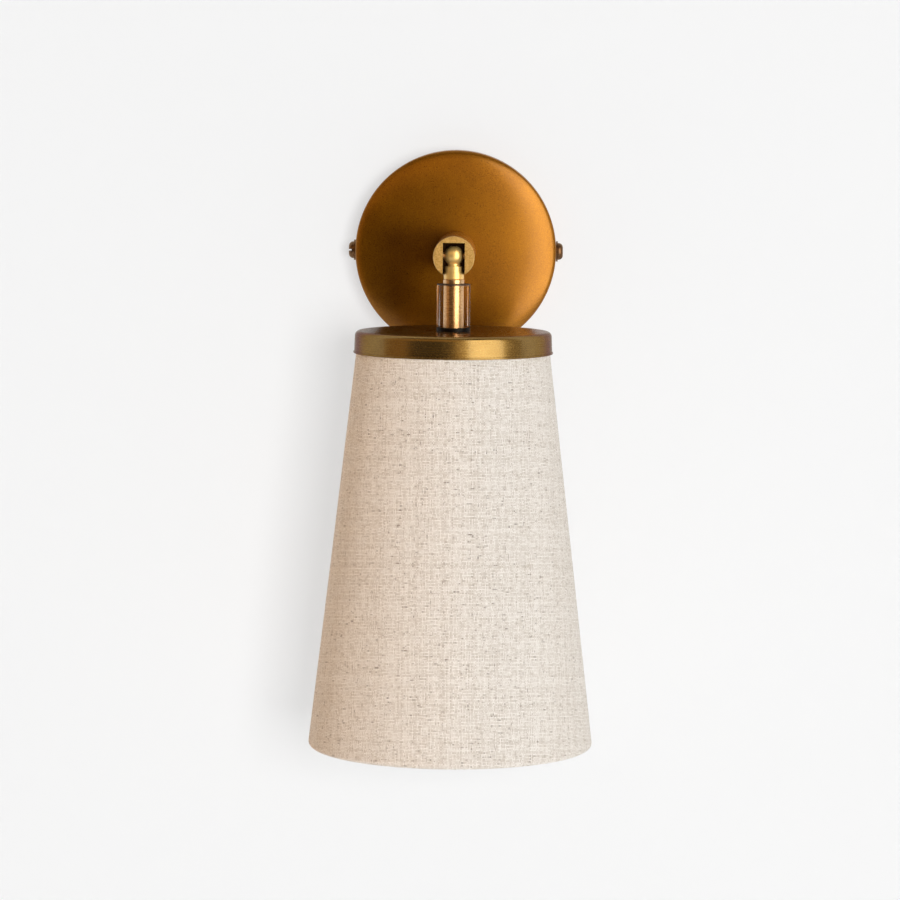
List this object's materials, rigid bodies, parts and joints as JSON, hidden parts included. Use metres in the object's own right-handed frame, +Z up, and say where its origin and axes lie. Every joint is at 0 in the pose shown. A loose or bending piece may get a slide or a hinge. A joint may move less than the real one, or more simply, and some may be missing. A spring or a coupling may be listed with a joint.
{
  "type": "fabric shade wall light",
  "caption": "Wall light with a round brass canopy, a short arm, a tilting ball-ended stem and a tapered linen shade round a screw-in bulb.",
  "frame": {"origin": "middle of the wall fixing, on the wall plane behind the canopy", "axes": "+Z up, +Y into the wall, so the light stands out towards -Y; +X to the right seen from the room"},
  "size_m": [0.1376, 0.1508, 0.2875],
  "materials": {
    "satin_brass": "antique brass, satin lacquer, fine speckle",
    "bright_brass": "polished brass",
    "dark_bronze": "dark bronzed brass",
    "raw_brass": "plain turned brass",
    "zinc_steel": "zinc plated",
    "nickel_brass": "nickel plated",
    "white_wire": "white coated steel wire",
    "clear_acrylic": "clear, polished",
    "dark_gasket": "matt black rubber",
    "dark_disc": "thin dark fibre disc",
    "linen": "oatmeal linen, plain weave with slubs",
    "liner": "off-white styrene sheet",
    "black_plastic": "black moulded plastic",
    "white_plastic": "white moulded plastic",
    "opal_plastic": "opal diffuser",
    "ceramic": "glazed ceramic",
    "block_plastic": "natural nylon",
    "brown_sleeve": "brown silicone",
    "blue_sleeve": "blue silicone",
    "earth_sleeve": "green and yellow",
    "circuit_board": "white coated aluminium",
    "led_phosphor": "yellow phosphor"
  },
  "bodies": {
    "base": {"wall_bracket": "zinc_steel", "canopy": "satin_brass", "canopy_screws": "dark_bronze", "canopy_screw_washers": "dark_bronze", "terminal_block": "block_plastic", "terminal_tubes": "raw_brass", "terminal_screws": "zinc_steel", "block_screw": "zinc_steel", "earth_screw": "raw_brass", "earth_cup_washer": "raw_brass", "earth_lead": "earth_sleeve", "live_lead_arm": "brown_sleeve", "neutral_lead_arm": "blue_sleeve", "arm": "bright_brass", "arm_nipple": "zinc_steel", "arm_lock_nut": "zinc_steel", "arm_lock_washer": "zinc_steel", "pivot_screws": "bright_brass"},
    "head": {"bulb_diffuser": "opal_plastic", "bulb_housing": "white_plastic", "bulb_insulator": "black_plastic", "bulb_screw_shell": "nickel_brass", "bulb_tip_contact": "nickel_brass", "cap_nut": "zinc_steel", "cap_washer": "zinc_steel", "centre_contact": "raw_brass", "clear_sleeve": "clear_acrylic", "holder_cap": "black_plastic", "holder_insert": "ceramic", "holder_screws": "zinc_steel", "holder_shell": "nickel_brass", "holder_skirt": "black_plastic", "led_board": "circuit_board", "led_chips": "led_phosphor", "live_lead_stem": "brown_sleeve", "neutral_lead_stem": "blue_sleeve", "shade_bottom_ring": "white_wire", "shade_cap": "satin_brass", "shade_fabric": "linen", "shade_liner": "liner", "shade_rings": "black_plastic", "shade_top_ring": "white_wire", "shell_contact": "raw_brass", "sleeve_gasket": "dark_gasket", "sleeve_washer": "dark_disc", "stem_collar": "bright_brass", "stem_tube": "bright_brass", "swivel_ball": "bright_brass"}
  },
  "joints": [
    {"name": "shade_tilt", "type": "hinge", "parent": "base", "child": "head", "pos_m": [0, -0.082, 0.0005], "axis": [-1, 0, 0], "range_deg": [0, 90]}
  ]
}
